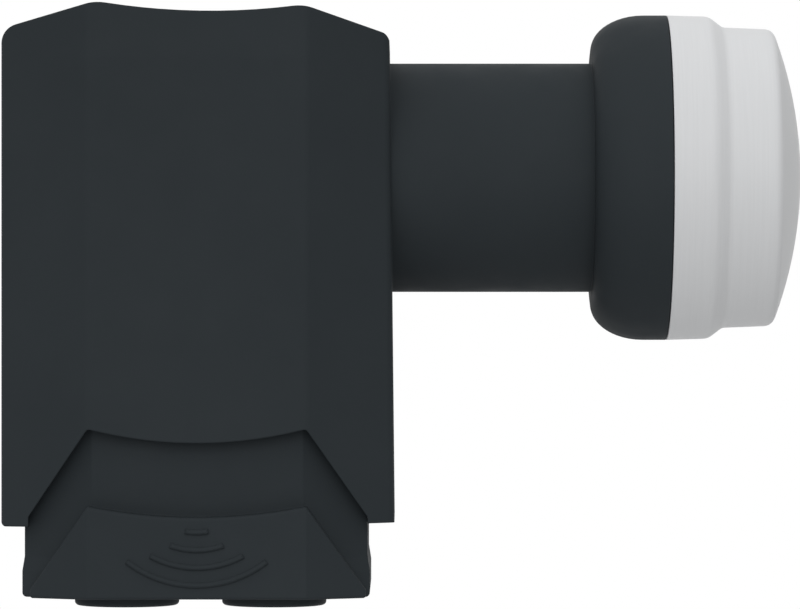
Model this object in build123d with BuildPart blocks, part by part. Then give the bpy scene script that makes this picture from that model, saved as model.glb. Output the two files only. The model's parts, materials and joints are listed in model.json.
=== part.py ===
"""Satellite receiver head with a 40 mm clamping neck, four outputs and a slide-down weather shield.

The origin is on the feed axis, in the middle of the neck. +X points out of the feed cap, +Z is up.
Lengths are in millimetres, and every piece is drawn where it sits in the assembled head.
"""
import os
from math import radians, sqrt, tan

from build123d import *

os.makedirs("parts", exist_ok=True)

# Neck and feed ring
neck_diameter = 40.0
neck_length = 35.0
neck_wall = 2.2
ring_diameter = 56.8
ring_length = 13.0
ring_wall = 2.4
ring_face_diameter = 45.0
ring_round_length = 9.0
ring_seat_depth = 6.5
ring_seat_width = 1.0

# Casing outline: length along X, depth along Y, heights above the feed axis
casing_length = 66.6
casing_depth = 60.0
casing_wall = 2.2
casing_drop = 60.1
lower_edge_rise = 0.7
end_face_width = 44.0
panel_width = 37.0
panel_shift = 0.45
panel_hollow = 0.9
rear_corner_height = 24.9
rear_ridge_height = 29.2
front_ridge_height = 28.6
front_corner_height = 23.8
ridge_spacing = 35.1
ridge_shift = 0.45
roof_hollow = 1.3
roof_lip_setback = 0.8
roof_lip_slope = 2.0
front_draft = 0.6
bend_height = 19.6
bend_lean = 0.7
corner_round = 2.0
crease_round = 2.5
rear_corner_round = 3.5
front_corner_round = 2.0
lower_corner_round = 0.9
ridge_round = 8.0
seam_width = 0.3
seam_depth = 0.3

# Side notches that the shield's noses slide up into, heights below the feed axis
notch_shoulder_drop = 43.3
notch_dip = 2.4
notch_foot_drop = 58.4
notch_width = 57.8
notch_round = 0.8

# Weather shield, drawn pulled down
shield_drop = 72.2
shield_travel = 12.0
shield_top_drop = 39.0
shield_wall = 1.8
shield_floor = 2.0
shield_end_inset = 4.0
slide_gap = 0.7
skirt_height = 7.0
skirt_proud = 0.4
skirt_blend = 2.5
nose_top_gap = 1.1
nose_foot_gap = 0.4
nose_side_gap = 0.3
nose_dip = 1.9
nose_round = 0.5
foot_round = 0.8
rim_diameter = 18.0
rim_bore = 15.2
rim_drop = 1.8
rim_round = 0.7
lug_width = 12.0
lug_height = 3.0
lug_gap = 0.3
ledge_height = 2.6
ledge_gap = 0.35
stop_gap = 0.1

# Finger ridges on each nose: concentric arcs that widen downwards
ridge_count = 4
ridge_first_radius = 10.2
ridge_pitch = 3.0
ridge_first_half_angle = 11.0
ridge_angle_step = 9.0
ridge_line_width = 0.9
ridge_proud = 0.45
ridge_chamfer = 0.25
ridge_centre_drop = 50.6

# Feed cap
cap_tip = 54.0
cap_wall = 1.8
cap_seam = 0.15
cap_step_start = 37.9
cap_step_end = 40.4
cap_shoulder_diameter = 56.4
cap_front_diameter = 52.6
cap_front_taper = 0.35
cap_dome_radius = 70.0
cap_shoulder_round = 2.5
cap_step_round = 1.6
cap_dome_round = 1.8
cap_spigot_length = 2.5
cap_spigot_gap = 0.15

# Casting: horn, waveguide and electronics chamber
waveguide_bore = 19.0
waveguide_wall = 3.0
horn_setback = 7.2
horn_throat = 22.0
horn_cap_gap = 0.95
horn_wall = 1.6
horn_back_round = 6.0
horn_flange_thickness = 2.5
horn_flange_gap = 0.2
choke_count = 2
choke_width = 1.6
choke_depth = 7.0
choke_lip = 1.4
collar_width = 2.0
collar_gap = 0.2
chamber_wall = 2.4
chamber_side_gap = 4.0
chamber_corner_gap = 1.0
chamber_front_gap = 2.7
chamber_roof_gap = 1.6
chamber_floor_gap = 0.7
chamber_edge_round = 1.5
rib_width = 1.6
rib_inset = 8.0
rib_clear = 3.0

# Chamber lid
lid_thickness = 2.4
lid_gap = 1.1
lid_chamfer = 2.0
gasket_thickness = 0.5
gasket_margin = 0.2
gasket_width = 1.8
lid_screw_diameter = 2.5
lid_screw_length = 8.0
lid_boss_diameter = 6.0
lid_boss_inset = 1.4

# Boards and the parts on them
board_thickness = 1.0
board_edge_gap = 0.4
board_post_diameter = 6.0
board_post_inset = 2.6
board_screw_diameter = 2.0
board_screw_length = 6.0
board_screw_head = 3.8
board_screw_head_height = 1.4
rf_board_setback = 15.2
rf_board_drop = 45.0
switch_board_drop = 49.0
probe_width = 1.6
probe_length = 6.0
link_pin_count = 8
link_pin_pitch = 2.0
link_pin_width = 0.6
link_pin_reach = 4.0
link_pin_tail = 0.8
link_block_width = 2.4
chip_size = 6.0
chip_height = 0.9
crystal_length = 3.2
crystal_width = 2.5
transistor_length = 2.0
transistor_width = 1.3
regulator_length = 6.5
regulator_width = 6.1
regulator_height = 2.3
regulator_gap = 1.5
package_gap = 0.45

# Outputs: four threaded coaxial sockets in two rows
output_spacing = 25.4
output_wall_gap = 5.3
thread_diameter = 9.525
thread_chamfer = 0.5
socket_bore = 6.2
socket_hex = 11.0
socket_hex_height = 2.2
socket_spigot_diameter = 8.8
socket_spigot_length = 4.0
socket_tip_gap = 0.2
press_gap = 0.03
washer_thickness = 1.0
washer_diameter = 11.6
insulator_recess = 0.6
contact_diameter = 1.4
contact_bore = 0.8
contact_bore_depth = 6.0
contact_cover = 0.9
contact_above_board = 0.6

# Places worked out from the sizes above
neck_radius = neck_diameter / 2
neck_bore = neck_radius - neck_wall
ring_rear = neck_length / 2
ring_front = ring_rear + ring_length
ring_seat = ring_front - ring_seat_depth
ring_radius = ring_diameter / 2
ring_bore = ring_radius - ring_wall
casing_front = -neck_length / 2
casing_rear = casing_front - casing_length
casing_mid = (casing_front + casing_rear) / 2
half_depth = casing_depth / 2
end_half = end_face_width / 2
panel_mid = casing_mid + panel_shift
panel_rear = panel_mid - panel_width / 2
panel_front = panel_mid + panel_width / 2
casing_top = rear_ridge_height + 2 * casing_wall
front_slope = tan(radians(front_draft))
sleeve_inset = casing_wall + slide_gap
skirt_inset = sleeve_inset - skirt_proud
skirt_end_inset = shield_end_inset - skirt_proud
shield_foot = -shield_drop
shield_floor_top = shield_foot + shield_floor
nose_shoulder = -notch_shoulder_drop - shield_travel - nose_top_gap
nose_foot = -notch_foot_drop - shield_travel - nose_foot_gap
nose_width = notch_width - 2 * nose_side_gap
ledge_top = ledge_height - casing_drop
ledge_end_inset = skirt_end_inset - ledge_gap
cap_rear = ring_front + cap_seam
spigot_radius = ring_bore - cap_spigot_gap
spigot_end = cap_rear - cap_spigot_length
flange_front = ring_seat + horn_flange_thickness
horn_front = cap_tip - cap_wall - horn_setback
cap_bore = cap_front_diameter / 2 - cap_front_taper - cap_wall
spigot_bore = spigot_radius - cap_wall
horn_radius = min(cap_bore, spigot_bore) - horn_cap_gap
horn_mouth = horn_radius - choke_count * (choke_width + choke_lip) - horn_wall
waveguide_radius = waveguide_bore / 2 + waveguide_wall
lid_rear = casing_rear + shield_end_inset + shield_wall + lid_gap
lid_front = lid_rear + lid_thickness
chamber_rear = lid_front + gasket_thickness
facet_slope = (half_depth - end_half) / (panel_rear - casing_rear)
sleeve_thickness = sleeve_inset + shield_wall
facet_half = end_half + facet_slope * (chamber_rear - casing_rear)
corner_half = facet_half - sleeve_thickness * sqrt(1 + facet_slope**2) - chamber_corner_gap
panel_half = half_depth - panel_hollow - sleeve_thickness - chamber_side_gap
chamber_half = min(panel_half, corner_half)
chamber_inner_half = chamber_half - chamber_wall
chamber_front = casing_front - shield_end_inset - shield_wall - chamber_front_gap
chamber_inner_front = chamber_front - chamber_wall
chamber_foot = shield_floor_top + shield_travel + chamber_floor_gap
chamber_inner_foot = chamber_foot + chamber_wall
chamber_top = front_corner_height - casing_wall - chamber_roof_gap
chamber_inner_top = chamber_top - chamber_wall
chamber_mid_height = (chamber_top + chamber_foot) / 2
chamber_height = chamber_top - chamber_foot
board_half = chamber_inner_half - board_edge_gap
rf_board_front = chamber_rear + rf_board_setback
rf_board_rear = rf_board_front - board_thickness
switch_board_top = -switch_board_drop
switch_board_foot = switch_board_top - board_thickness
link_x = rf_board_rear - link_pin_width / 2
washer_foot = chamber_foot - washer_thickness
hex_foot = washer_foot - socket_hex_height
socket_tip = shield_floor_top + socket_tip_gap
insulator_tip = socket_tip + insulator_recess
contact_tip = insulator_tip + contact_cover
spigot_top = chamber_foot + socket_spigot_length
socket_x = [panel_mid - output_spacing / 2, panel_mid + output_spacing / 2]
output_row = chamber_inner_half - output_wall_gap
socket_y = [-output_row, output_row]
sockets = [(x, y) for y in socket_y for x in socket_x]
post_y = chamber_inner_half - board_post_inset
front_post_x = chamber_inner_front - board_post_inset
rf_posts = [
    (side * post_y, height)
    for side in (-1, 1)
    for height in (chamber_inner_top - board_post_inset, board_post_diameter - rf_board_drop)
]
switch_posts = [
    (panel_mid, -post_y),
    (panel_mid, post_y),
    (chamber_rear + board_post_diameter / 2, 0),
    (front_post_x, 0),
]
boss_y = chamber_inner_half - lid_boss_inset
lid_bosses = [
    (side * boss_y, height)
    for side in (-1, 1)
    for height in (
        chamber_inner_top - lid_boss_inset,
        (chamber_inner_top + switch_board_top) / 2,
        switch_board_top + lid_boss_diameter,
    )
]
link_y = [(i - (link_pin_count - 1) / 2) * link_pin_pitch for i in range(link_pin_count)]


def casing_plan(height, inset=0.0, end_inset=0.0, lean=0.0):
    """Outline from above: a hollow side panel between two slanted facets, on each side."""
    panel_y = half_depth - lean
    front_x = casing_front - height * front_slope
    corners = [(x, y) for x in (casing_rear, front_x) for y in (-end_half, end_half)]
    creases = [(x, y) for x in (panel_rear, panel_front) for y in (-panel_y, panel_y)]
    with BuildSketch(Plane.XY.offset(height)) as plan:
        with BuildLine():
            for side in (-1, 1):
                Line((casing_rear, side * end_half), (panel_rear, side * panel_y))
                ThreePointArc(
                    (panel_rear, side * panel_y),
                    (panel_mid, side * (panel_y - panel_hollow)),
                    (panel_front, side * panel_y),
                )
                Line((panel_front, side * panel_y), (front_x, side * end_half))
            Line((casing_rear, -end_half), (casing_rear, end_half))
            Line((front_x, -end_half), (front_x, end_half))
        make_face()
        if inset != 0:
            offset(amount=-inset, kind=Kind.INTERSECTION)
        else:
            for corner in corners:
                fillet(plan.vertices().sort_by_distance(corner)[0], radius=corner_round)
            for crease in creases:
                fillet(plan.vertices().sort_by_distance(crease)[0], radius=crease_round)
        if end_inset != 0:
            with Locations((casing_mid, 0)):
                Rectangle(casing_length - 2 * end_inset, casing_depth, mode=Mode.INTERSECT)
    return plan.sketch


def casing_side(floor, inset=0.0, rise=0.0):
    """Outline from the side: a roof with two ridges and a hollow, and a lip that ends past the front face."""
    roof_mid = panel_mid + ridge_shift
    rear_ridge = (roof_mid - ridge_spacing / 2, rear_ridge_height)
    front_ridge = (roof_mid + ridge_spacing / 2, front_ridge_height)
    valley = (roof_mid, (rear_ridge_height + front_ridge_height) / 2 - roof_hollow)
    rear_top = (casing_rear, rear_corner_height)
    rear_foot = (casing_rear, floor - inset)
    roof_fall = (front_ridge_height - front_corner_height) / (casing_front - front_ridge[0])
    overhang = 2 * casing_wall
    front_top = (casing_front - roof_lip_setback, front_corner_height + roof_fall * roof_lip_setback)
    lip_end = (casing_front + overhang, front_top[1] - roof_lip_slope * (overhang + roof_lip_setback))
    front_foot = (casing_front + overhang, floor - inset + rise)
    with BuildSketch(Plane.XZ) as side:
        with BuildLine():
            Polyline(front_ridge, front_top, lip_end, front_foot, rear_foot, rear_top, rear_ridge)
            ThreePointArc(rear_ridge, valley, front_ridge)
        make_face()
        if inset != 0:
            offset(amount=-inset, kind=Kind.INTERSECTION)
        else:
            fillet(side.vertices().sort_by_distance(rear_top)[0], radius=rear_corner_round)
            fillet(side.vertices().sort_by_distance(front_top)[0], radius=front_corner_round)
            fillet(side.vertices().sort_by_distance(rear_foot)[0], radius=lower_corner_round)
            for ridge in (rear_ridge, front_ridge):
                fillet(side.vertices().sort_by_distance(ridge)[0], radius=ridge_round)
    return side.sketch


def casing_form(floor, inset=0.0, rise=0.0):
    """Solid of the casing's shape, drawn in by inset, reaching down to floor and rise above it in front."""
    bend = casing_plan(bend_height, inset)
    with BuildPart() as form:
        loft([casing_plan(floor - casing_wall, inset), bend], ruled=True)
        loft([bend, casing_plan(casing_top, inset, lean=bend_lean)], ruled=True)
        extrude(casing_side(floor, inset, rise), amount=casing_depth, both=True, mode=Mode.INTERSECT)
    return form.part


def neck_outline(inset=0.0):
    """Half section of the neck and feed ring down to the axis, drawn in by inset."""
    top = neck_radius - inset
    face = ring_face_diameter / 2 - inset
    rim = ring_radius - inset
    start = casing_front - casing_wall
    back = ring_rear + inset
    with BuildSketch(Plane.XZ) as section:
        with BuildLine():
            Polyline((start, 0), (start, top), (back, top), (back, face))
            EllipticalCenterArc(
                (back + ring_round_length, face),
                ring_round_length,
                rim - face,
                start_angle=90,
                arc_size=90,
            )
            Polyline((back + ring_round_length, rim), (ring_front, rim), (ring_front, 0), (start, 0))
        make_face()
    return section.sketch


def notch_outline(shoulder, dip, foot, width, floor, inset=0.0):
    """Side outline of a notch or nose: slanted flanks up to a sagging top edge over the panel."""
    rear_x = panel_mid - width / 2
    front_x = panel_mid + width / 2
    with BuildSketch(Plane.XZ) as outline:
        with BuildLine():
            Polyline((panel_rear, shoulder), (rear_x, foot), (rear_x, floor), (front_x, floor))
            Polyline((front_x, floor), (front_x, foot), (panel_front, shoulder))
            ThreePointArc((panel_rear, shoulder), (panel_mid, shoulder - dip), (panel_front, shoulder))
        make_face()
        if inset != 0:
            offset(amount=-inset, kind=Kind.INTERSECTION)
        else:
            for x in (panel_rear, panel_front):
                fillet(outline.vertices().sort_by_distance((x, shoulder))[0], radius=notch_round)
    return outline.sketch


def casing_ribs():
    """Upright ribs inside the casing that grip the chamber from both sides and from above."""
    low = -shield_top_drop + shield_travel + rib_clear
    with BuildPart() as ribs:
        for x in (chamber_rear + rib_inset, chamber_front - rib_inset):
            with BuildSketch(Plane.XY.offset(low)):
                with Locations((x, 0)):
                    Rectangle(rib_width, casing_depth)
            extrude(amount=casing_top - low)
        with BuildSketch(Plane.YZ.offset(chamber_rear)):
            with Locations((0, chamber_mid_height)):
                Rectangle(2 * chamber_half, chamber_height)
        extrude(amount=chamber_front - chamber_rear, mode=Mode.SUBTRACT)
        add(casing_form(low - casing_wall, casing_wall / 2), mode=Mode.INTERSECT)
    return ribs.part


def seam_groove():
    """Shallow groove round the casing where its two halves meet."""
    with BuildPart() as groove:
        with BuildSketch(Plane.XZ):
            with Locations((casing_mid, 0)):
                Rectangle(4 * casing_length, 4 * casing_drop)
        extrude(amount=seam_width / 2, both=True)
        add(casing_form(-casing_drop - casing_wall, seam_depth), mode=Mode.SUBTRACT)
        revolve(neck_outline(seam_depth), axis=Axis.X, mode=Mode.SUBTRACT)
    return groove.part


# Casing as one shell: box, neck and feed ring, hollowed, with its notches, ledges and ribs
with BuildPart() as casing:
    add(casing_form(-casing_drop, rise=lower_edge_rise))
    revolve(neck_outline(), axis=Axis.X)
    add(casing_form(ledge_top, casing_wall), mode=Mode.SUBTRACT)
    extrude(
        casing_plan(-casing_drop - ledge_height, casing_wall, ledge_end_inset),
        amount=3 * ledge_height,
        mode=Mode.SUBTRACT,
    )
    extrude(
        notch_outline(-notch_shoulder_drop, notch_dip, -notch_foot_drop, notch_width, shield_foot),
        amount=casing_depth,
        both=True,
        mode=Mode.SUBTRACT,
    )
    with BuildSketch(Plane.XZ):
        with BuildLine():
            Polyline(
                (chamber_front, 0),
                (chamber_front, neck_bore),
                (ring_rear + ring_wall, neck_bore),
                (ring_seat, ring_bore - ring_seat_width),
                (ring_seat, ring_bore),
                (ring_front, ring_bore),
                (ring_front, 0),
                close=True,
            )
        make_face()
    revolve(axis=Axis.X, mode=Mode.SUBTRACT)
    add(casing_ribs())
    add(seam_groove(), mode=Mode.SUBTRACT)

# Casing halves, parted on the plane through the feed axis
with BuildPart() as casing_right:
    add(casing.part)
    split(bisect_by=Plane.XZ, keep=Keep.TOP)

with BuildPart() as casing_left:
    mirror(casing_right.part, about=Plane.XZ)

for half, name in ((casing_right, "casing_right"), (casing_left, "casing_left")):
    half.part.label = name
    export_step(half.part, f"parts/{name}.step")


def nose_block(floor, inset):
    """Both noses as one block through the shield, drawn in by inset from the casing's side faces."""
    outline = notch_outline(nose_shoulder, nose_dip, nose_foot, nose_width, floor - inset, inset)
    with BuildPart() as block:
        extrude(casing_plan(floor, inset), amount=-shield_top_drop - floor)
        extrude(outline, amount=casing_depth, both=True, mode=Mode.INTERSECT)
    return block.part


def finger_ridges():
    """Arc ridges standing proud of both noses."""
    centre = (panel_mid, -ridge_centre_drop)
    with BuildPart() as ridges:
        for i in range(ridge_count):
            middle = ridge_first_radius + i * ridge_pitch
            half_angle = ridge_first_half_angle + i * ridge_angle_step
            start = 270 - half_angle
            with BuildSketch(Plane.XZ):
                with BuildLine():
                    inner = CenterArc(centre, middle - ridge_line_width / 2, start, 2 * half_angle)
                    outer = CenterArc(centre, middle + ridge_line_width / 2, start, 2 * half_angle)
                    Line(inner @ 0, outer @ 0)
                    Line(inner @ 1, outer @ 1)
                make_face()
            extrude(amount=casing_depth, both=True)
        extrude(casing_plan(shield_foot, -ridge_proud), amount=shield_drop, mode=Mode.INTERSECT)
        crests = ridges.faces().filter_by(lambda face: abs(face.normal_at().Y) > 0.9)
        chamfer(crests.edges(), length=ridge_chamfer)
    return ridges.part


# Noses flush with the casing, grown from a smaller block so that every edge is rounded
with BuildPart() as noses:
    add(nose_block(shield_foot + nose_round, nose_round))
    offset(amount=nose_round, kind=Kind.ARC)

# Weather shield: a sleeve with a proud skirt, two hollow noses, a floor and four rims round the outputs
with BuildPart() as weather_shield:
    extrude(casing_plan(shield_foot, sleeve_inset, shield_end_inset), amount=shield_drop - shield_top_drop)
    skirt_shoulder = shield_foot + skirt_height - skirt_blend
    extrude(casing_plan(shield_foot, skirt_inset, skirt_end_inset), amount=skirt_height - skirt_blend)
    loft(
        [
            casing_plan(skirt_shoulder, skirt_inset, skirt_end_inset),
            casing_plan(skirt_shoulder + skirt_blend, sleeve_inset, shield_end_inset),
        ],
        ruled=True,
    )
    fillet(weather_shield.edges().group_by(Axis.Z)[0], radius=foot_round)
    add(noses.part)
    add(finger_ridges())
    for end, outward in ((casing_rear, 1), (casing_front, -1)):
        with BuildSketch(Plane.XY.offset(ledge_top + stop_gap)):
            face = end + outward * (casing_wall + lug_gap)
            root = end + outward * (shield_end_inset + shield_wall)
            with Locations(((face + root) / 2, 0)):
                Rectangle(abs(root - face), lug_width)
        extrude(amount=lug_height)
    sleeve_hollow = casing_plan(shield_floor_top, sleeve_inset + shield_wall, shield_end_inset + shield_wall)
    extrude(sleeve_hollow, amount=shield_drop, mode=Mode.SUBTRACT)
    add(nose_block(shield_floor_top, shield_wall), mode=Mode.SUBTRACT)
    with BuildSketch(Plane.XY.offset(shield_foot)):
        with Locations(*sockets):
            Circle(rim_diameter / 2)
    extrude(amount=-rim_drop)
    rim_edges = weather_shield.edges().group_by(Axis.Z)[0]
    fillet(rim_edges, radius=rim_round)
    with BuildSketch(Plane.XY.offset(shield_foot - rim_drop)):
        with Locations(*sockets):
            Circle(rim_bore / 2)
    extrude(amount=rim_drop + shield_floor + ledge_height, mode=Mode.SUBTRACT)

weather_shield.part.label = "weather_shield"
export_step(weather_shield.part, "parts/weather_shield.step")


def cap_outline(inset=0.0):
    """Half section of the feed cap: a ring tier, a step, a slimmer tier and a shallow dome."""
    rear = cap_rear + inset
    shoulder = cap_shoulder_diameter / 2 - inset
    front = cap_front_diameter / 2 - inset
    dome_edge = front - cap_front_taper
    dome_radius = cap_dome_radius - inset
    tip = cap_tip - inset
    dome_x = tip - dome_radius + sqrt(dome_radius**2 - dome_edge**2)
    middle_x = tip - dome_radius + sqrt(dome_radius**2 - (dome_edge / 2) ** 2)
    rounds = [
        ((cap_step_start, shoulder), cap_shoulder_round),
        ((cap_step_end, front), cap_step_round),
        ((dome_x, dome_edge), cap_dome_round),
    ]
    with BuildSketch(Plane.XZ) as section:
        with BuildLine():
            Polyline(
                (tip, 0),
                (rear, 0),
                (rear, ring_radius - inset),
                (cap_step_start, shoulder),
                (cap_step_end, front),
                (dome_x, dome_edge),
            )
            ThreePointArc((dome_x, dome_edge), (middle_x, dome_edge / 2), (tip, 0))
        make_face()
        if inset == 0:
            for corner, radius in rounds:
                fillet(section.vertices().sort_by_distance(corner)[0], radius=radius)
    return section.sketch


# Feed cap, with a spigot that plugs into the feed ring
with BuildPart() as feed_cap:
    revolve(cap_outline(), axis=Axis.X)
    with BuildSketch(Plane.YZ.offset(spigot_end)):
        Circle(spigot_radius)
    extrude(amount=cap_rear - spigot_end)
    revolve(cap_outline(cap_wall), axis=Axis.X, mode=Mode.SUBTRACT)
    with BuildSketch(Plane.YZ.offset(spigot_end)):
        Circle(spigot_bore)
    extrude(amount=cap_step_start - spigot_end, mode=Mode.SUBTRACT)

feed_cap.part.label = "feed_cap"
export_step(feed_cap.part, "parts/feed_cap.step")

# Flat rubber ring between the horn's flange and the cap's spigot
with BuildPart() as cap_seal:
    with BuildSketch(Plane.YZ.offset(flange_front)):
        Circle(spigot_radius)
        Circle(spigot_bore, mode=Mode.SUBTRACT)
    extrude(amount=spigot_end - flange_front)

cap_seal.part.label = "cap_seal"
export_step(cap_seal.part, "parts/cap_seal.step")

# Casting: choke horn, waveguide and the open-backed electronics chamber in one piece
with BuildPart() as horn_casting:
    with BuildSketch(Plane.YZ.offset(chamber_rear)):
        with Locations((0, chamber_mid_height)):
            Rectangle(2 * chamber_half, chamber_height)
    extrude(amount=chamber_front - chamber_rear)
    fillet(horn_casting.faces().sort_by(Axis.X)[-1].edges(), radius=chamber_edge_round)
    with BuildSketch(Plane.YZ.offset(chamber_rear)):
        with Locations((0, (chamber_inner_top + chamber_inner_foot) / 2)):
            Rectangle(2 * chamber_inner_half, chamber_inner_top - chamber_inner_foot)
    extrude(amount=chamber_inner_front - chamber_rear, mode=Mode.SUBTRACT)
    with BuildSketch(Plane.YZ.offset(rf_board_front)):
        with Locations(*rf_posts):
            Circle(board_post_diameter / 2)
    extrude(amount=chamber_inner_front - rf_board_front)
    with BuildSketch(Plane.XY.offset(chamber_inner_foot)):
        with Locations(*switch_posts):
            Circle(board_post_diameter / 2)
    extrude(amount=switch_board_foot - chamber_inner_foot)
    with BuildSketch(Plane.YZ.offset(chamber_rear)):
        with Locations(*lid_bosses):
            Circle(lid_boss_diameter / 2)
    extrude(amount=lid_screw_length)
    with BuildSketch(Plane.XZ):
        with BuildLine():
            Polyline(
                (rf_board_front, 0),
                (rf_board_front, waveguide_radius),
                (ring_seat - horn_back_round, waveguide_radius),
                (ring_seat, waveguide_radius + horn_back_round),
                (ring_seat, ring_bore - horn_flange_gap),
                (flange_front, ring_bore - horn_flange_gap),
                (flange_front, horn_radius),
                (horn_front, horn_radius),
                (horn_front, 0),
                close=True,
            )
        make_face()
    revolve(axis=Axis.X)
    for x in (-neck_length / 4, neck_length / 4):
        with BuildSketch(Plane.YZ.offset(x - collar_width / 2)):
            Circle(neck_bore - collar_gap)
        extrude(amount=collar_width)
    with BuildSketch(Plane.XZ):
        with BuildLine():
            Polyline(
                (rf_board_front, 0),
                (rf_board_front, waveguide_bore / 2),
                (horn_throat, waveguide_bore / 2),
                (horn_front, horn_mouth),
                (horn_front, 0),
                close=True,
            )
        make_face()
    revolve(axis=Axis.X, mode=Mode.SUBTRACT)
    for i in range(choke_count):
        choke_inner = horn_mouth + horn_wall + i * (choke_width + choke_lip)
        with BuildSketch(Plane.YZ.offset(horn_front)):
            Circle(choke_inner + choke_width)
            Circle(choke_inner, mode=Mode.SUBTRACT)
        extrude(amount=-choke_depth, mode=Mode.SUBTRACT)
    with BuildSketch(Plane.YZ.offset(chamber_rear)):
        with Locations(*lid_bosses):
            Circle(lid_screw_diameter / 2 + press_gap)
    extrude(amount=lid_screw_length - lid_thickness, mode=Mode.SUBTRACT)
    with BuildSketch(Plane.YZ.offset(rf_board_front)):
        with Locations(*rf_posts):
            Circle(board_screw_diameter / 2 + press_gap)
    extrude(amount=board_screw_length, mode=Mode.SUBTRACT)
    with BuildSketch(Plane.XY.offset(switch_board_foot)):
        with Locations(*switch_posts):
            Circle(board_screw_diameter / 2 + press_gap)
    extrude(amount=chamber_inner_foot - switch_board_foot, mode=Mode.SUBTRACT)
    with BuildSketch(Plane.XY.offset(chamber_foot)):
        with Locations(*sockets):
            Circle(socket_spigot_diameter / 2 + press_gap)
    extrude(amount=chamber_wall, mode=Mode.SUBTRACT)

horn_casting.part.label = "horn_casting"
export_step(horn_casting.part, "parts/horn_casting.step")

# Chamber lid, with the cup that closes the waveguide behind the board
with BuildPart() as chamber_lid:
    with BuildSketch(Plane.YZ.offset(lid_rear)):
        with Locations((0, chamber_mid_height)):
            Rectangle(2 * chamber_half, chamber_height)
    extrude(amount=lid_thickness)
    back_edges = chamber_lid.faces().sort_by(Axis.X)[0].edges().filter_by(Axis.Z)
    chamfer(back_edges, length=lid_chamfer)
    with BuildSketch(Plane.YZ.offset(lid_front)):
        Circle(waveguide_radius)
        Circle(waveguide_bore / 2, mode=Mode.SUBTRACT)
    extrude(amount=rf_board_rear - lid_front)
    with BuildSketch(Plane.YZ.offset(lid_rear)):
        with Locations(*lid_bosses):
            Circle(lid_screw_diameter / 2 + press_gap)
    extrude(amount=lid_thickness, mode=Mode.SUBTRACT)
    with BuildSketch(Plane.YZ.offset(lid_rear)):
        with Locations(*lid_bosses):
            Circle(lid_screw_diameter + press_gap)
    extrude(amount=lid_thickness / 2, mode=Mode.SUBTRACT)

chamber_lid.part.label = "chamber_lid"
export_step(chamber_lid.part, "parts/chamber_lid.step")

# Rubber frame between chamber and lid
with BuildPart() as lid_gasket:
    gasket_y = chamber_half - gasket_margin
    gasket_z = chamber_height / 2 - gasket_margin
    with BuildSketch(Plane.YZ.offset(lid_front)):
        with Locations((0, chamber_mid_height)):
            Rectangle(2 * gasket_y, 2 * gasket_z)
            Rectangle(2 * (gasket_y - gasket_width), 2 * (gasket_z - gasket_width), mode=Mode.SUBTRACT)
    extrude(amount=gasket_thickness)

lid_gasket.part.label = "lid_gasket"
export_step(lid_gasket.part, "parts/lid_gasket.step")

# Lid screws, with their heads sunk in the lid
with BuildPart() as lid_screws:
    with BuildSketch(Plane.YZ.offset(lid_rear)):
        with Locations(*lid_bosses):
            Circle(lid_screw_diameter)
    extrude(amount=lid_thickness / 2)
    with BuildSketch(Plane.YZ.offset(lid_rear)):
        with Locations(*lid_bosses):
            Circle(lid_screw_diameter / 2)
    extrude(amount=lid_screw_length)

lid_screws.part.label = "lid_screws"
export_step(lid_screws.part, "parts/lid_screws.step")

# Receiver board across the waveguide, with two probe tongues at right angles in its opening
with BuildPart() as rf_board:
    rf_top = chamber_inner_top - board_edge_gap
    with BuildSketch(Plane.YZ.offset(rf_board_rear)):
        with Locations((0, (rf_top - rf_board_drop) / 2)):
            Rectangle(2 * board_half, rf_top + rf_board_drop)
        Circle(waveguide_bore / 2, mode=Mode.SUBTRACT)
        with Locations((0, probe_length / 2 - waveguide_bore / 2)):
            Rectangle(probe_width, probe_length)
        with Locations((probe_length / 2 - waveguide_bore / 2, 0)):
            Rectangle(probe_length, probe_width)
        with Locations(*rf_posts):
            Circle(board_screw_diameter / 2 + press_gap, mode=Mode.SUBTRACT)
    extrude(amount=board_thickness)

rf_board.part.label = "rf_board"
export_step(rf_board.part, "parts/rf_board.step")

# Switch board above the outputs
with BuildPart() as switch_board:
    switch_rear = chamber_rear + board_edge_gap
    switch_front = chamber_inner_front - board_edge_gap
    with BuildSketch(Plane.XY.offset(switch_board_foot)):
        with Locations(((switch_rear + switch_front) / 2, 0)):
            Rectangle(switch_front - switch_rear, 2 * board_half)
        with Locations(*sockets):
            Circle(contact_diameter / 2 + press_gap, mode=Mode.SUBTRACT)
        with Locations(*switch_posts):
            Circle(board_screw_diameter / 2 + press_gap, mode=Mode.SUBTRACT)
        with Locations(*[(link_x, y) for y in link_y]):
            Rectangle(link_pin_width + press_gap, link_pin_width + press_gap, mode=Mode.SUBTRACT)
    extrude(amount=board_thickness)

switch_board.part.label = "switch_board"
export_step(switch_board.part, "parts/switch_board.step")

behind_board = Plane.YZ.offset(rf_board_rear)
on_board = Plane.XY.offset(switch_board_top)

# Screws that hold both boards on their posts
with BuildPart() as board_screws:
    for plane, posts, inward, reach in (
        (behind_board, rf_posts, 1, board_screw_length),
        (on_board, switch_posts, -1, switch_board_top - chamber_inner_foot),
    ):
        with BuildSketch(plane):
            with Locations(*posts):
                Circle(board_screw_head / 2)
        extrude(amount=-inward * board_screw_head_height)
        with BuildSketch(plane):
            with Locations(*posts):
                Circle(board_screw_diameter / 2)
        extrude(amount=inward * reach)

board_screws.part.label = "board_screws"
export_step(board_screws.part, "parts/board_screws.step")

# Pin strip that joins the two boards
with BuildPart() as link_block:
    with BuildSketch(Plane.XY.offset(switch_board_top)):
        with Locations((link_x, 0)):
            Rectangle(link_block_width, link_pin_count * link_pin_pitch)
        with Locations(*[(link_x, y) for y in link_y]):
            Rectangle(link_pin_width + press_gap, link_pin_width + press_gap, mode=Mode.SUBTRACT)
    extrude(amount=link_block_width)

link_block.part.label = "link_block"
export_step(link_block.part, "parts/link_block.step")

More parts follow.
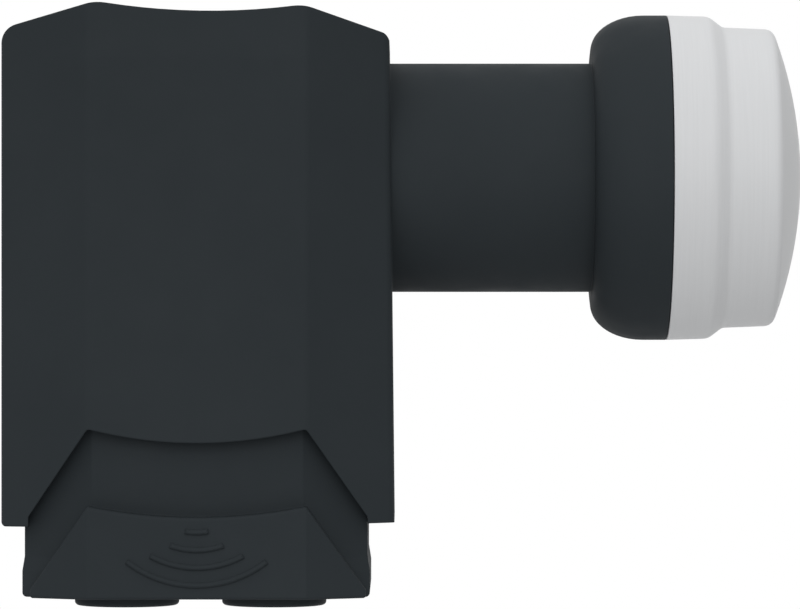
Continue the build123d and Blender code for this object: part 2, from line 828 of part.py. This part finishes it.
with BuildPart() as link_pins:
    with BuildSketch(Plane.XY.offset(switch_board_foot - link_pin_tail)):
        with Locations(*[(link_x, y) for y in link_y]):
            Rectangle(link_pin_width, link_pin_width)
    extrude(amount=link_pin_reach - rf_board_drop - switch_board_foot + link_pin_tail)

link_pins.part.label = "link_pins"
export_step(link_pins.part, "parts/link_pins.step")

# Packages soldered to the boards
mixer_height = -(waveguide_radius + rf_board_drop) / 2
regulator_front = front_post_x - board_screw_head / 2 - regulator_gap
switch_chip_front = regulator_front - regulator_length - package_gap

with BuildPart() as mixer_chip:
    with BuildSketch(behind_board):
        with Locations((0, mixer_height)):
            Rectangle(chip_size, chip_size)
    extrude(amount=-chip_height)
    chamfer(mixer_chip.faces().sort_by(Axis.X)[0].edges(), length=chip_height / 6)

with BuildPart() as reference_crystal:
    with BuildSketch(behind_board):
        with Locations((chip_size + crystal_length / 2, mixer_height)):
            RectangleRounded(crystal_length, crystal_width, crystal_width / 6)
    extrude(amount=-chip_height)

with BuildPart() as preamp_transistors:
    with BuildSketch(behind_board):
        with Locations(*[(column * chip_size, mixer_height + chip_size) for column in (-1, 0, 1)]):
            Rectangle(transistor_length, transistor_width)
    extrude(amount=-chip_height)

with BuildPart() as switch_chip:
    with BuildSketch(on_board):
        with Locations((switch_chip_front - chip_size / 2, 0)):
            Rectangle(chip_size, chip_size)
    extrude(amount=chip_height)
    chamfer(switch_chip.faces().sort_by(Axis.Z)[-1].edges(), length=chip_height / 6)

with BuildPart() as supply_regulator:
    with BuildSketch(on_board):
        with Locations((regulator_front - regulator_length / 2, 0)):
            Rectangle(regulator_length, regulator_width)
    extrude(amount=regulator_height)
    chamfer(supply_regulator.faces().sort_by(Axis.Z)[-1].edges(), length=regulator_height / 6)

for package, name in (
    (mixer_chip, "mixer_chip"),
    (reference_crystal, "reference_crystal"),
    (preamp_transistors, "preamp_transistors"),
    (switch_chip, "switch_chip"),
    (supply_regulator, "supply_regulator"),
):
    package.part.label = name
    export_step(package.part, f"parts/{name}.step")

# Outputs: threaded body, washer, insulator and centre contact of each
for number, (x, y) in enumerate(sockets, start=1):
    with BuildPart() as output_socket:
        with BuildSketch(Plane.XY.offset(hex_foot)):
            with Locations((x, y)):
                RegularPolygon(socket_hex / 2, 6, major_radius=False)
        extrude(amount=socket_hex_height)
        with BuildSketch(Plane.XY.offset(socket_tip)):
            with Locations((x, y)):
                Circle(thread_diameter / 2)
        extrude(amount=hex_foot - socket_tip)
        chamfer(output_socket.edges().group_by(Axis.Z)[0], length=thread_chamfer)
        with BuildSketch(Plane.XY.offset(washer_foot)):
            with Locations((x, y)):
                Circle(socket_spigot_diameter / 2)
        extrude(amount=spigot_top - washer_foot)
        with BuildSketch(Plane.XY.offset(socket_tip)):
            with Locations((x, y)):
                Circle(socket_bore / 2)
        extrude(amount=spigot_top - socket_tip, mode=Mode.SUBTRACT)

    with BuildPart() as output_washer:
        with BuildSketch(Plane.XY.offset(washer_foot)):
            with Locations((x, y)):
                Circle(washer_diameter / 2)
                Circle(socket_spigot_diameter / 2 + press_gap, mode=Mode.SUBTRACT)
        extrude(amount=washer_thickness)

    with BuildPart() as output_insulator:
        with BuildSketch(Plane.XY.offset(insulator_tip)):
            with Locations((x, y)):
                Circle(socket_bore / 2 - press_gap)
        extrude(amount=spigot_top - insulator_tip)
        with BuildSketch(Plane.XY.offset(contact_tip)):
            with Locations((x, y)):
                Circle(contact_diameter / 2 + press_gap)
        extrude(amount=spigot_top - contact_tip, mode=Mode.SUBTRACT)
        with BuildSketch(Plane.XY.offset(insulator_tip)):
            with Locations((x, y)):
                Circle(contact_bore / 2)
        extrude(amount=contact_cover, mode=Mode.SUBTRACT)

    with BuildPart() as output_contact:
        with BuildSketch(Plane.XY.offset(contact_tip)):
            with Locations((x, y)):
                Circle(contact_diameter / 2)
        extrude(amount=switch_board_top + contact_above_board - contact_tip)
        with BuildSketch(Plane.XY.offset(contact_tip)):
            with Locations((x, y)):
                Circle(contact_bore / 2)
        extrude(amount=contact_bore_depth, mode=Mode.SUBTRACT)

    for piece, name in (
        (output_socket, f"output_socket_{number}"),
        (output_washer, f"output_washer_{number}"),
        (output_insulator, f"output_insulator_{number}"),
        (output_contact, f"output_contact_{number}"),
    ):
        piece.part.label = name
        export_step(piece.part, f"parts/{name}.step")
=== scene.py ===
"""Finish of a satellite receiver head: its materials, its threaded outputs, a studio and a camera.

Lengths are in metres, in the part's own frame: +X along the feed axis out of the cap, +Z up,
and the origin in the middle of the clamping neck.
"""
import json
import math

import bmesh
import bpy
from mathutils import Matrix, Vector


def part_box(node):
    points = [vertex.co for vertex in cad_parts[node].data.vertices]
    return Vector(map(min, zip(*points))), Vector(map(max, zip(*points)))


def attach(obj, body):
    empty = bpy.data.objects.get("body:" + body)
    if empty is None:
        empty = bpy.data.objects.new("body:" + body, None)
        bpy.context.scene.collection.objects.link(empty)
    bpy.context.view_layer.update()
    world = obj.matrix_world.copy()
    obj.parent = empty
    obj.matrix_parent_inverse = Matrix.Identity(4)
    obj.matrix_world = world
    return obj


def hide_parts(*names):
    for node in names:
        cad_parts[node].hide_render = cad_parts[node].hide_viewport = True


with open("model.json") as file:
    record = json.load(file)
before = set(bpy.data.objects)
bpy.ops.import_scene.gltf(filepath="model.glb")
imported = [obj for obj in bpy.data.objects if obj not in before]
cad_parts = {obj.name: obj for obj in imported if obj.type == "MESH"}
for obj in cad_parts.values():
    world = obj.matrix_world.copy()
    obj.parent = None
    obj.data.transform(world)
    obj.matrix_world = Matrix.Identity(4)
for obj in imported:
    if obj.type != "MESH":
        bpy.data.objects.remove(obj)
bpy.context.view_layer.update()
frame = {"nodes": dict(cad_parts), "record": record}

MM = 0.001

# Camera, worked out from how the round feed ring bulges in the view
CAMERA_X = -15.94 * MM
CAMERA_DISTANCE = 860 * MM
CAMERA_Z = -22.2 * MM
VIEW_WIDTH = 140.2 * MM
SENSOR_WIDTH = 36.0

# Studio
FLOOR_DROP = 0.28
FLOOR_CLEAR_RADIUS = 0.4
FLOOR_RADIUS = 1.0
FLOOR_SIDES = 96
FLOOR_COLOUR = (0.66, 0.66, 0.66, 1.0)
ROOM_WHITE = (1.0, 1.0, 1.0, 1.0)
ROOM_SIDE = 0.28
ROOM_CAP_LOSS = 0.27
ROOM_FRONT = 0.20
ROOM_TOP = 1.15
ROOM_LEAN = math.radians(10)
ROOM_FLOOR = 0.1
KEY_PLACE = (-0.02, -1.3, 0.35)
KEY_AIM = (-0.02, 0.0, -0.02)
KEY_SIZE = 1.0
KEY_POWER = 5.6

# Span that holds most of a noise value
NOISE_LOW = 0.3
NOISE_HIGH = 0.7

# Tracks of the boards: lanes in a metre, where copper ends and where mask begins
LANE_SCALE = 260.0
LANE_COPPER = 0.05
LANE_MASK = 0.12

# Edges of the moulded pieces
MOULD_ROUND = 0.45 * MM
EDGE_SAMPLES = 6
SHARP_ANGLE = math.radians(32)

# Output sockets: 3/8 inch thread with 32 turns to the inch, on a hexagon
THREAD_PITCH = 25.4 * MM / 32
THREAD_DEPTH = 0.42 * MM
THREAD_TOLERANCE = THREAD_DEPTH / 10
THREAD_RUNOUT = 0.9 * MM
THREAD_CHAMFER = 0.5 * MM
RINGS_PER_PITCH = 8
RING_POINTS = 48
HEX_HEIGHT = 2.2 * MM
HEX_CHAMFER = 0.35 * MM
SPIGOT_RADIUS = 4.4 * MM
SPIGOT_LENGTH = 4.0 * MM
SOCKET_BORE = 3.1 * MM
BORE_CHAMFER = 0.25 * MM
WASHER_HEIGHT = 1.0 * MM
SOCKETS_EACH_WAY = 2


def new_material(name, roughness, metallic=0.0, specular=0.5):
    """Material with a surface shader whose plain numbers are set on its own sockets."""
    material = bpy.data.materials.new(name)
    material.use_nodes = True
    tree = material.node_tree
    shader = tree.nodes["Principled BSDF"]
    shader.inputs["Roughness"].default_value = roughness
    shader.inputs["Metallic"].default_value = metallic
    shader.inputs["Specular IOR Level"].default_value = specular
    return material, tree, shader


def noise(tree, scale, detail=2.0, stretch=(1.0, 1.0, 1.0)):
    """Noise in the piece's own coordinates: scale is its cells in a metre, before the stretch."""
    place = tree.nodes.new("ShaderNodeTexCoord")
    mapping = tree.nodes.new("ShaderNodeMapping")
    mapping.inputs["Scale"].default_value = stretch
    texture = tree.nodes.new("ShaderNodeTexNoise")
    texture.inputs["Scale"].default_value = scale
    texture.inputs["Detail"].default_value = detail
    tree.links.new(place.outputs["Object"], mapping.inputs["Vector"])
    tree.links.new(mapping.outputs["Vector"], texture.inputs["Vector"])
    return texture.outputs["Fac"]


def spread(tree, value, low, high):
    """Stretch the middle of a noise value over the range from low to high."""
    node = tree.nodes.new("ShaderNodeMapRange")
    node.inputs["From Min"].default_value = NOISE_LOW
    node.inputs["From Max"].default_value = NOISE_HIGH
    node.inputs["To Min"].default_value = low
    node.inputs["To Max"].default_value = high
    tree.links.new(value, node.inputs["Value"])
    return node.outputs["Result"]


def tint(tree, shader, value, dark, light):
    """Colour the surface between two tones by a noise value."""
    ramp = tree.nodes.new("ShaderNodeValToRGB")
    ramp.color_ramp.elements[0].position = NOISE_LOW
    ramp.color_ramp.elements[0].color = (*dark, 1.0)
    ramp.color_ramp.elements[1].position = NOISE_HIGH
    ramp.color_ramp.elements[1].color = (*light, 1.0)
    tree.links.new(value, ramp.inputs["Fac"])
    tree.links.new(ramp.outputs["Color"], shader.inputs["Base Color"])


def relief(tree, shader, value, depth, edge_round=0.0):
    """Raise and sink the surface by a noise value, to the depth given, over edges of the round given."""
    bump = tree.nodes.new("ShaderNodeBump")
    bump.inputs["Distance"].default_value = depth
    if edge_round:
        edges = tree.nodes.new("ShaderNodeBevel")
        edges.samples = EDGE_SAMPLES
        edges.inputs["Radius"].default_value = edge_round
        tree.links.new(edges.outputs["Normal"], bump.inputs["Normal"])
    tree.links.new(value, bump.inputs["Height"])
    tree.links.new(bump.outputs["Normal"], shader.inputs["Normal"])


def anthracite_plastic():
    """Dark moulded housing with a fine eroded grain and faint clouds from the mould."""
    material, tree, shader = new_material("anthracite_plastic", roughness=0.6, specular=0.04)
    clouds = noise(tree, scale=45.0, detail=3.0)
    tint(tree, shader, clouds, (0.0234, 0.0283, 0.0316), (0.0253, 0.0304, 0.0338))
    tree.links.new(spread(tree, noise(tree, scale=160.0), 0.55, 0.66), shader.inputs["Roughness"])
    relief(tree, shader, noise(tree, scale=3200.0, detail=3.0), depth=0.012 * MM, edge_round=MOULD_ROUND)
    return material


def silver_plastic():
    """Satin silver-grey cap with faint turned lines round the feed axis."""
    material, tree, shader = new_material("silver_plastic", roughness=0.45, specular=0.2)
    lines = noise(tree, scale=60.0, detail=4.0, stretch=(55.0, 1.0, 1.0))
    tint(tree, shader, lines, (0.560, 0.567, 0.576), (0.580, 0.587, 0.596))
    tree.links.new(spread(tree, lines, 0.4, 0.5), shader.inputs["Roughness"])
    relief(tree, shader, lines, depth=0.003 * MM, edge_round=MOULD_ROUND)
    return material


def cast_aluminium():
    """Casting with the dull, uneven skin that a die leaves."""
    material, tree, shader = new_material("cast_aluminium", roughness=0.5, metallic=1.0)
    skin = noise(tree, scale=900.0, detail=4.0)
    tint(tree, shader, skin, (0.56, 0.57, 0.58), (0.68, 0.69, 0.70))
    tree.links.new(spread(tree, noise(tree, scale=200.0), 0.42, 0.6), shader.inputs["Roughness"])
    relief(tree, shader, skin, depth=0.02 * MM)
    return material


def nickel_plating():
    """Bright plated brass with the faint lines of turning."""
    material, tree, shader = new_material("nickel_plating", roughness=0.25, metallic=1.0)
    lines = noise(tree, scale=80.0, detail=3.0, stretch=(1.0, 1.0, 60.0))
    tint(tree, shader, lines, (0.62, 0.59, 0.54), (0.72, 0.69, 0.64))
    tree.links.new(spread(tree, noise(tree, scale=400.0), 0.2, 0.34), shader.inputs["Roughness"])
    relief(tree, shader, lines, depth=0.004 * MM)
    return material


def zinc_steel():
    """Zinc-plated screws."""
    material, tree, shader = new_material("zinc_steel", roughness=0.35, metallic=1.0)
    patches = noise(tree, scale=700.0, detail=3.0)
    tint(tree, shader, patches, (0.50, 0.51, 0.52), (0.62, 0.62, 0.61))
    tree.links.new(spread(tree, patches, 0.28, 0.42), shader.inputs["Roughness"])
    return material


def contact_brass():
    """Bare brass of the contacts and pins."""
    material, tree, shader = new_material("contact_brass", roughness=0.3, metallic=1.0)
    patches = noise(tree, scale=900.0, detail=3.0)
    tint(tree, shader, patches, (0.66, 0.49, 0.23), (0.78, 0.61, 0.33))
    tree.links.new(spread(tree, patches, 0.24, 0.38), shader.inputs["Roughness"])
    return material


def seal_rubber():
    """Matt black rubber with a soft bloom."""
    material, tree, shader = new_material("seal_rubber", roughness=0.8, specular=0.3)
    bloom = noise(tree, scale=600.0, detail=4.0)
    tint(tree, shader, bloom, (0.016, 0.016, 0.017), (0.028, 0.028, 0.029))
    relief(tree, shader, bloom, depth=0.01 * MM)
    return material


def insulator_plastic():
    """White plastic that holds the contact, slightly waxy."""
    material, tree, shader = new_material("insulator_plastic", roughness=0.42)
    shader.inputs["Subsurface Weight"].default_value = 0.15
    shader.inputs["Subsurface Radius"].default_value = (0.6 * MM, 0.5 * MM, 0.4 * MM)
    clouds = noise(tree, scale=500.0, detail=2.0)
    tint(tree, shader, clouds, (0.74, 0.74, 0.71), (0.82, 0.82, 0.79))
    tree.links.new(spread(tree, clouds, 0.36, 0.5), shader.inputs["Roughness"])
    return material


def board_laminate():
    """Green solder mask with the copper of its tracks showing through as lighter lanes."""
    material, tree, shader = new_material("board_laminate", roughness=0.4)
    place = tree.nodes.new("ShaderNodeTexCoord")
    lanes = tree.nodes.new("ShaderNodeTexVoronoi")
    lanes.distance = "MANHATTAN"
    lanes.feature = "DISTANCE_TO_EDGE"
    lanes.inputs["Scale"].default_value = LANE_SCALE
    tree.links.new(place.outputs["Object"], lanes.inputs["Vector"])
    ramp = tree.nodes.new("ShaderNodeValToRGB")
    ramp.color_ramp.elements[0].position = LANE_COPPER
    ramp.color_ramp.elements[0].color = (0.075, 0.22, 0.09, 1.0)
    ramp.color_ramp.elements[1].position = LANE_MASK
    ramp.color_ramp.elements[1].color = (0.022, 0.11, 0.045, 1.0)
    tree.links.new(lanes.outputs["Distance"], ramp.inputs["Fac"])
    tree.links.new(ramp.outputs["Color"], shader.inputs["Base Color"])
    tree.links.new(spread(tree, noise(tree, scale=300.0), 0.34, 0.48), shader.inputs["Roughness"])
    return material


def package_plastic():
    """Black moulding compound of the chips."""
    material, tree, shader = new_material("package_plastic", roughness=0.6)
    speck = noise(tree, scale=4000.0, detail=2.0)
    tint(tree, shader, speck, (0.011, 0.011, 0.012), (0.021, 0.021, 0.022))
    relief(tree, shader, speck, depth=0.008 * MM)
    return material


def tinned_can():
    """Drawn metal can of the crystal."""
    material, tree, shader = new_material("tinned_can", roughness=0.3, metallic=1.0)
    lines = noise(tree, scale=900.0, detail=3.0, stretch=(1.0, 1.0, 8.0))
    tint(tree, shader, lines, (0.56, 0.56, 0.54), (0.68, 0.68, 0.66))
    tree.links.new(spread(tree, lines, 0.24, 0.36), shader.inputs["Roughness"])
    return material


FINISHES = {
    "casing_plastic": anthracite_plastic(),
    "cap_plastic": silver_plastic(),
    "cast_metal": cast_aluminium(),
    "nickel": nickel_plating(),
    "steel": zinc_steel(),
    "contact_metal": contact_brass(),
    "seal_rubber": seal_rubber(),
    "insulator_plastic": insulator_plastic(),
    "board_laminate": board_laminate(),
    "package_plastic": package_plastic(),
    "package_metal": tinned_can(),
}
SLOT_OF_NODE = {row["node"]: row["material_slot"] for row in frame["record"]["subparts"]}
BODY_OF_NODE = {
    node: body for body, members in frame["record"]["behaviour"]["bodies"].items() for node in members
}


def finish_nodes():
    """Give every solid of the part the material of its slot."""
    for node, solid in frame["nodes"].items():
        solid.data.materials.clear()
        solid.data.materials.append(FINISHES[SLOT_OF_NODE[node]])


def add_piece(name, mesh, body, stands_for):
    """Put a finished mesh in the scene, riding on a body and standing for solids of the part."""
    piece = bpy.data.objects.new(name, mesh)
    bpy.context.scene.collection.objects.link(piece)
    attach(piece, body)
    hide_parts(*stands_for)


def socket_profile(tip, top, hexagon, thread):
    """Rings of one socket from the top of its bore, round its tip, to the top of its spigot.

    Each ring is a height with a radius, and True where the ring is a hexagon.
    """
    washer = top - SPIGOT_LENGTH - WASHER_HEIGHT
    hex_foot = washer - HEX_HEIGHT
    rings = [(top, SOCKET_BORE, False), (tip + BORE_CHAMFER, SOCKET_BORE, False)]
    rings += [(tip, SOCKET_BORE + BORE_CHAMFER, False), (tip, thread - THREAD_CHAMFER, False)]
    count = round((hex_foot - tip - THREAD_CHAMFER) / THREAD_PITCH * RINGS_PER_PITCH)
    for i in range(count + 1):
        height = tip + THREAD_CHAMFER + (hex_foot - tip - THREAD_CHAMFER) * i / count
        rings.append((height, thread, False))
    rings += [(hex_foot, hexagon - HEX_CHAMFER, True), (hex_foot + HEX_CHAMFER, hexagon, True)]
    rings += [(washer - HEX_CHAMFER, hexagon, True), (washer, hexagon - HEX_CHAMFER, True)]
    rings += [(washer, SPIGOT_RADIUS, False), (top, SPIGOT_RADIUS, False)]
    return rings


def socket_blank(rings):
    """Closed mesh through the rings of a socket, standing on its own axis."""
    mesh = bpy.data.meshes.new("socket_blank")
    shape = bmesh.new()
    loops = []
    for height, radius, six_sided in rings:
        loop = []
        for k in range(RING_POINTS):
            angle = 2 * math.pi * k / RING_POINTS
            reach = radius
            if six_sided:
                reach = radius / math.cos((angle % (math.pi / 3)) - math.pi / 6)
            loop.append(shape.verts.new((reach * math.cos(angle), reach * math.sin(angle), height)))
        loops.append(loop)
    for this, following in zip(loops, loops[1:] + loops[:1]):
        for k in range(RING_POINTS):
            after = (k + 1) % RING_POINTS
            shape.faces.new((this[k], this[after], following[after], following[k]))
    bmesh.ops.recalc_face_normals(shape, faces=shape.faces)
    shape.to_mesh(mesh)
    shape.free()
    return mesh


def math_node(tree, operation, first, second=None):
    """One arithmetic step of a node tree: each operand is a socket or a number."""
    node = tree.nodes.new("ShaderNodeMath")
    node.operation = operation
    for socket, operand in zip(node.inputs, (first, second)):
        if isinstance(operand, bpy.types.NodeSocket):
            tree.links.new(operand, socket)
        elif operand is not None:
            socket.default_value = operand
    return node.outputs[0]


def socket_tree():
    """Node tree that cuts a screw thread into a blank and sets copies of it out on a grid."""
    tree = bpy.data.node_groups.new("threaded_outputs", "GeometryNodeTree")
    tree.interface.new_socket("Blank", in_out="INPUT", socket_type="NodeSocketGeometry")
    for name in ("Radius", "Depth", "Pitch", "Foot", "Head", "Runout", "Centre X", "Spacing X", "Spacing Y"):
        tree.interface.new_socket(name, in_out="INPUT", socket_type="NodeSocketFloat")
    tree.interface.new_socket("Finish", in_out="INPUT", socket_type="NodeSocketMaterial")
    tree.interface.new_socket("Sockets", in_out="OUTPUT", socket_type="NodeSocketGeometry")
    given = tree.nodes.new("NodeGroupInput").outputs
    out = tree.nodes.new("NodeGroupOutput").inputs

    position = tree.nodes.new("GeometryNodeInputPosition")
    axes = tree.nodes.new("ShaderNodeSeparateXYZ")
    tree.links.new(position.outputs["Position"], axes.inputs["Vector"])
    x, y, z = axes.outputs
    turn = math_node(tree, "DIVIDE", math_node(tree, "ARCTAN2", y, x), 2 * math.pi)
    phase = math_node(tree, "ADD", math_node(tree, "DIVIDE", z, given["Pitch"]), turn)
    wave = math_node(tree, "PINGPONG", phase, 0.5)
    fade_in = math_node(tree, "DIVIDE", math_node(tree, "SUBTRACT", z, given["Foot"]), given["Runout"])
    fade_out = math_node(tree, "DIVIDE", math_node(tree, "SUBTRACT", given["Head"], z), given["Runout"])
    fade = math_node(tree, "MINIMUM", fade_in, fade_out)
    fade = math_node(tree, "MINIMUM", math_node(tree, "MAXIMUM", fade, 0.0), 1.0)
    cut = math_node(tree, "MULTIPLY", math_node(tree, "MULTIPLY", wave, 2.0), fade)
    cut = math_node(tree, "MULTIPLY", cut, given["Depth"])
    reach = math_node(tree, "SQRT", math_node(tree, "ADD", math_node(tree, "MULTIPLY", x, x),
                                              math_node(tree, "MULTIPLY", y, y)))
    off_wall = math_node(tree, "ABSOLUTE", math_node(tree, "SUBTRACT", reach, given["Radius"]))
    on_wall = math_node(tree, "LESS_THAN", off_wall, THREAD_TOLERANCE)
    shrink = math_node(tree, "SUBTRACT", 1.0, math_node(tree, "DIVIDE", cut, given["Radius"]))

    moved = tree.nodes.new("ShaderNodeCombineXYZ")
    drawn_in = [math_node(tree, "MULTIPLY", axis, shrink) for axis in (x, y)]
    for axis, socket in zip((*drawn_in, z), moved.inputs):
        tree.links.new(axis, socket)
    thread = tree.nodes.new("GeometryNodeSetPosition")
    tree.links.new(given["Blank"], thread.inputs["Geometry"])
    tree.links.new(on_wall, thread.inputs["Selection"])
    tree.links.new(moved.outputs["Vector"], thread.inputs["Position"])

    grid = tree.nodes.new("GeometryNodeMeshGrid")
    grid.inputs["Vertices X"].default_value = SOCKETS_EACH_WAY
    grid.inputs["Vertices Y"].default_value = SOCKETS_EACH_WAY
    tree.links.new(given["Spacing X"], grid.inputs["Size X"])
    tree.links.new(given["Spacing Y"], grid.inputs["Size Y"])
    shift = tree.nodes.new("GeometryNodeTransform")
    centre = tree.nodes.new("ShaderNodeCombineXYZ")
    tree.links.new(given["Centre X"], centre.inputs["X"])
    tree.links.new(grid.outputs["Mesh"], shift.inputs["Geometry"])
    tree.links.new(centre.outputs["Vector"], shift.inputs["Translation"])
    copies = tree.nodes.new("GeometryNodeInstanceOnPoints")
    tree.links.new(shift.outputs["Geometry"], copies.inputs["Points"])
    tree.links.new(thread.outputs["Geometry"], copies.inputs["Instance"])
    realize = tree.nodes.new("GeometryNodeRealizeInstances")
    tree.links.new(copies.outputs["Instances"], realize.inputs["Geometry"])
    finish = tree.nodes.new("GeometryNodeSetMaterial")
    tree.links.new(realize.outputs["Geometry"], finish.inputs["Geometry"])
    tree.links.new(given["Finish"], finish.inputs["Material"])
    tree.links.new(finish.outputs["Geometry"], out["Sockets"])
    return tree


def grow_mesh(blank, tree, values, name):
    """Run a node tree on a blank mesh with the values given and return the plain mesh it makes."""
    holder = bpy.data.objects.new("blank", blank)
    bpy.context.scene.collection.objects.link(holder)
    modifier = holder.modifiers.new("nodes", "NODES")
    modifier.node_group = tree
    for item in tree.interface.items_tree:
        if item.in_out == "INPUT" and item.name in values:
            modifier[item.identifier] = values[item.name]
    graph = bpy.context.evaluated_depsgraph_get()
    mesh = bpy.data.meshes.new_from_object(holder.evaluated_get(graph))
    mesh.name = name
    holder.modifiers.remove(modifier)
    bpy.data.objects.remove(holder)
    return mesh


def make_output_sockets():
    """The four threaded sockets, set out where the part's own output mounts are."""
    ports = [mount for mount in frame["record"]["mounts"] if mount["name"].startswith("f_port")]
    nodes = [node for node in frame["nodes"] if node.startswith("output_socket")]
    low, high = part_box("output_socket_1")
    radius = ports[0]["dims"]["r_mm"] * MM
    rings = socket_profile(low.z, high.z, (high.y - low.y) / 2, radius)
    places_x = sorted(port["pos_m"][0] for port in ports)
    places_y = sorted(port["pos_m"][1] for port in ports)
    values = {
        "Radius": radius,
        "Depth": THREAD_DEPTH,
        "Pitch": THREAD_PITCH,
        "Foot": low.z + THREAD_CHAMFER / 2,
        "Head": high.z - SPIGOT_LENGTH - WASHER_HEIGHT - HEX_HEIGHT,
        "Runout": THREAD_RUNOUT,
        "Centre X": (places_x[0] + places_x[-1]) / 2,
        "Spacing X": places_x[-1] - places_x[0],
        "Spacing Y": places_y[-1] - places_y[0],
        "Finish": FINISHES["nickel"],
    }
    mesh = grow_mesh(socket_blank(rings), socket_tree(), values, "threaded_sockets")
    mesh.shade_smooth()
    mesh.set_sharp_from_angle(angle=SHARP_ANGLE)
    add_piece("threaded_sockets", mesh, BODY_OF_NODE[nodes[0]], nodes)


def room_light():
    """World: brightest above, dimmest where the cap points, and plain white where it is seen or mirrored."""
    world = bpy.data.worlds.new("room")
    bpy.context.scene.world = world
    world.use_nodes = True
    tree = world.node_tree
    tree.nodes.clear()
    place = tree.nodes.new("ShaderNodeTexCoord")
    axes = tree.nodes.new("ShaderNodeSeparateXYZ")
    tree.links.new(place.outputs["Generated"], axes.inputs["Vector"])
    ahead = math_node(tree, "MULTIPLY", axes.outputs["Y"], axes.outputs["Y"])
    lean = math_node(tree, "MULTIPLY", axes.outputs["Y"], -math.sin(ROOM_LEAN))
    above = math_node(tree, "ADD", math_node(tree, "MULTIPLY", axes.outputs["Z"], math.cos(ROOM_LEAN)), lean)
    above = math_node(tree, "MAXIMUM", above, 0.0)
    below = math_node(tree, "MAXIMUM", math_node(tree, "MULTIPLY", axes.outputs["Z"], -1.0), 0.0)
    capward = math_node(tree, "MAXIMUM", axes.outputs["X"], 0.0)
    level = math_node(tree, "ADD", math_node(tree, "MULTIPLY", ahead, ROOM_FRONT), ROOM_SIDE)
    level = math_node(tree, "SUBTRACT", level, math_node(tree, "MULTIPLY", capward, ROOM_CAP_LOSS))
    level = math_node(tree, "ADD", math_node(tree, "MULTIPLY", above, ROOM_TOP), level)
    level = math_node(tree, "ADD", math_node(tree, "MULTIPLY", below, ROOM_FLOOR), level)
    lit = tree.nodes.new("ShaderNodeBackground")
    tree.links.new(level, lit.inputs["Strength"])
    lit.inputs["Color"].default_value = ROOM_WHITE
    seen = tree.nodes.new("ShaderNodeBackground")
    seen.inputs["Color"].default_value = ROOM_WHITE
    ray = tree.nodes.new("ShaderNodeLightPath")
    direct = math_node(tree, "MAXIMUM", ray.outputs["Is Camera Ray"], ray.outputs["Is Transmission Ray"])
    direct = math_node(tree, "MAXIMUM", direct, ray.outputs["Is Glossy Ray"])
    mix = tree.nodes.new("ShaderNodeMixShader")
    out = tree.nodes.new("ShaderNodeOutputWorld")
    tree.links.new(direct, mix.inputs["Fac"])
    tree.links.new(lit.outputs["Background"], mix.inputs[1])
    tree.links.new(seen.outputs["Background"], mix.inputs[2])
    tree.links.new(mix.outputs["Shader"], out.inputs["Surface"])


def soft_lamp(name, place, aim, size, power):
    """Large square lamp that points at a place."""
    data = bpy.data.lights.new(name, "AREA")
    data.size = size
    data.energy = power
    lamp = bpy.data.objects.new(name, data)
    lamp.location = place
    lamp.rotation_euler = (Vector(aim) - Vector(place)).to_track_quat("-Z", "Y").to_euler()
    bpy.context.scene.collection.objects.link(lamp)


def pale_floor():
    """Pale floor below the part, which fades into the white room at its rim and is clear from below."""
    mesh = bpy.data.meshes.new("floor")
    shape = bmesh.new()
    bmesh.ops.create_circle(shape, cap_ends=True, segments=FLOOR_SIDES, radius=FLOOR_RADIUS)
    for vertex in shape.verts:
        vertex.co.z = -FLOOR_DROP
    shape.to_mesh(mesh)
    shape.free()
    material, tree, shader = new_material("pale_floor", roughness=0.9, specular=0.1)
    shader.inputs["Base Color"].default_value = FLOOR_COLOUR
    place = tree.nodes.new("ShaderNodeTexCoord")
    reach = tree.nodes.new("ShaderNodeVectorMath")
    reach.operation = "LENGTH"
    fade = tree.nodes.new("ShaderNodeMapRange")
    fade.interpolation_type = "SMOOTHSTEP"
    fade.inputs["From Min"].default_value = FLOOR_CLEAR_RADIUS
    fade.inputs["From Max"].default_value = FLOOR_RADIUS
    fade.inputs["To Min"].default_value = 1.0
    fade.inputs["To Max"].default_value = 0.0
    tree.links.new(place.outputs["Object"], reach.inputs[0])
    tree.links.new(reach.outputs["Value"], fade.inputs["Value"])
    side = tree.nodes.new("ShaderNodeNewGeometry")
    from_above = math_node(tree, "SUBTRACT", 1.0, side.outputs["Backfacing"])
    tree.links.new(math_node(tree, "MULTIPLY", fade.outputs["Result"], from_above), shader.inputs["Alpha"])
    mesh.materials.append(material)
    floor = bpy.data.objects.new("floor", mesh)
    bpy.context.scene.collection.objects.link(floor)


def photo_camera():
    """Level camera square to the side of the part, at the photograph's distance and framing."""
    data = bpy.data.cameras.new("camera")
    data.sensor_width = SENSOR_WIDTH
    data.lens = SENSOR_WIDTH * CAMERA_DISTANCE / VIEW_WIDTH
    camera = bpy.data.objects.new("camera", data)
    camera.location = (CAMERA_X, -CAMERA_DISTANCE, CAMERA_Z)
    camera.rotation_euler = (math.pi / 2, 0.0, 0.0)
    bpy.context.scene.collection.objects.link(camera)
    bpy.context.scene.camera = camera


finish_nodes()
make_output_sockets()
room_light()
soft_lamp("key", KEY_PLACE, KEY_AIM, KEY_SIZE, KEY_POWER)
pale_floor()
photo_camera()
bpy.context.scene.view_settings.view_transform = "Standard"
